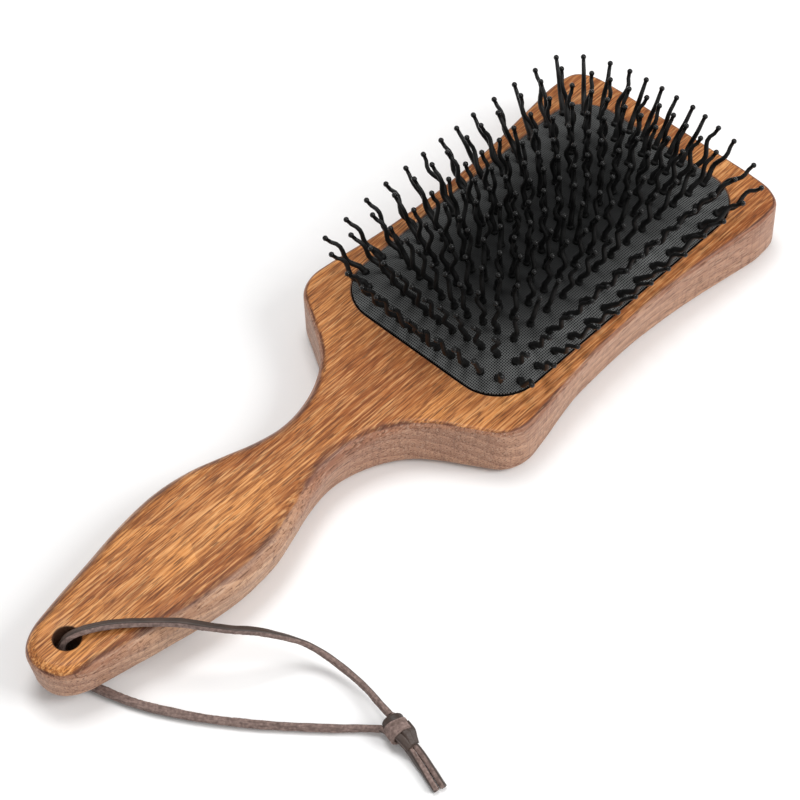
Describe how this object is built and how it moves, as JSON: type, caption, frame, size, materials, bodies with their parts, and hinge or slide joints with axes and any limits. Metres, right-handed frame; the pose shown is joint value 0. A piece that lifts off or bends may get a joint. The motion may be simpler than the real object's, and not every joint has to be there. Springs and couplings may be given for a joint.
{
  "type": "hairbrush",
  "caption": "Wooden paddle hairbrush with ball-tipped pins standing in a domed rubber air cushion, and a knotted leather hanging thong through its handle.",
  "frame": {"origin": "centre of the body's length and width, on the plane of its flat back", "axes": "+X along the brush from the handle to the head, +Y across it, +Z from the back towards the pins"},
  "size_m": [0.245, 0.1286, 0.0395],
  "materials": {
    "wood": "stained and satin lacquered, fine straight grain along the brush",
    "rubber": "matt, finely embossed",
    "pins": "glossy",
    "leather": "smooth on one face, napped on the others"
  },
  "bodies": {
    "body": {"wooden_body": "wood"},
    "cushion": {"rubber_cushion": "rubber"},
    "pin_column_01": {"pin_column_01": "pins"},
    "pin_column_02": {"pin_column_02": "pins"},
    "pin_column_03": {"pin_column_03": "pins"},
    "pin_column_04": {"pin_column_04": "pins"},
    "pin_column_05": {"pin_column_05": "pins"},
    "pin_column_06": {"pin_column_06": "pins"},
    "pin_column_07": {"pin_column_07": "pins"},
    "pin_column_08": {"pin_column_08": "pins"},
    "pin_column_09": {"pin_column_09": "pins"},
    "pin_column_10": {"pin_column_10": "pins"},
    "pin_column_11": {"pin_column_11": "pins"},
    "pin_column_12": {"pin_column_12": "pins"},
    "pin_column_13": {"pin_column_13": "pins"},
    "thong": {"thong_upper_leg": "leather", "thong_lower_leg": "leather", "thong_knot": "leather", "thong_tail_a": "leather", "thong_tail_b": "leather"}
  },
  "joints": [
    {"name": "cushion_press", "type": "slide", "parent": "body", "child": "cushion", "axis": [0, 0, -1], "range_m": [0, 0.0025], "stiffness_N_per_m": 4000, "deforming": ["rubber_cushion"]},
    {"name": "column_01_tilt", "type": "hinge", "parent": "cushion", "child": "pin_column_01", "pos_m": [0.0635, -0.0276, 0.01607], "axis": [1, 0, 0], "range_deg": [-10, 1], "stiffness_Nm_per_rad": 0.1},
    {"name": "column_02_tilt", "type": "hinge", "parent": "cushion", "child": "pin_column_02", "pos_m": [0.0635, -0.023, 0.01782], "axis": [1, 0, 0], "range_deg": [-10, 10], "stiffness_Nm_per_rad": 0.1},
    {"name": "column_03_tilt", "type": "hinge", "parent": "cushion", "child": "pin_column_03", "pos_m": [0.0635, -0.0184, 0.01909], "axis": [1, 0, 0], "range_deg": [-10, 10], "stiffness_Nm_per_rad": 0.1},
    {"name": "column_04_tilt", "type": "hinge", "parent": "cushion", "child": "pin_column_04", "pos_m": [0.0635, -0.0138, 0.01994], "axis": [1, 0, 0], "range_deg": [-10, 10], "stiffness_Nm_per_rad": 0.1},
    {"name": "column_05_tilt", "type": "hinge", "parent": "cushion", "child": "pin_column_05", "pos_m": [0.0635, -0.0092, 0.02043], "axis": [1, 0, 0], "range_deg": [-10, 10], "stiffness_Nm_per_rad": 0.1},
    {"name": "column_06_tilt", "type": "hinge", "parent": "cushion", "child": "pin_column_06", "pos_m": [0.0635, -0.0046, 0.02066], "axis": [1, 0, 0], "range_deg": [-10, 10], "stiffness_Nm_per_rad": 0.1},
    {"name": "column_07_tilt", "type": "hinge", "parent": "cushion", "child": "pin_column_07", "pos_m": [0.0635, 0, 0.0207], "axis": [1, 0, 0], "range_deg": [-10, 10], "stiffness_Nm_per_rad": 0.1},
    {"name": "column_08_tilt", "type": "hinge", "parent": "cushion", "child": "pin_column_08", "pos_m": [0.0635, 0.0046, 0.02066], "axis": [1, 0, 0], "range_deg": [-10, 10], "stiffness_Nm_per_rad": 0.1},
    {"name": "column_09_tilt", "type": "hinge", "parent": "cushion", "child": "pin_column_09", "pos_m": [0.0635, 0.0092, 0.02043], "axis": [1, 0, 0], "range_deg": [-10, 10], "stiffness_Nm_per_rad": 0.1},
    {"name": "column_10_tilt", "type": "hinge", "parent": "cushion", "child": "pin_column_10", "pos_m": [0.0635, 0.0138, 0.01994], "axis": [1, 0, 0], "range_deg": [-10, 10], "stiffness_Nm_per_rad": 0.1},
    {"name": "column_11_tilt", "type": "hinge", "parent": "cushion", "child": "pin_column_11", "pos_m": [0.0635, 0.0184, 0.01909], "axis": [1, 0, 0], "range_deg": [-10, 10], "stiffness_Nm_per_rad": 0.1},
    {"name": "column_12_tilt", "type": "hinge", "parent": "cushion", "child": "pin_column_12", "pos_m": [0.0635, 0.023, 0.01782], "axis": [1, 0, 0], "range_deg": [-10, 10], "stiffness_Nm_per_rad": 0.1},
    {"name": "column_13_tilt", "type": "hinge", "parent": "cushion", "child": "pin_column_13", "pos_m": [0.0635, 0.0276, 0.01607], "axis": [1, 0, 0], "range_deg": [-1, 10], "stiffness_Nm_per_rad": 0.1},
    {"name": "thong_swing", "type": "hinge", "parent": "body", "child": "thong", "pos_m": [-0.112, 0, 0.017], "axis": [0, 0, 1], "range_deg": [-50, 10]}
  ]
}
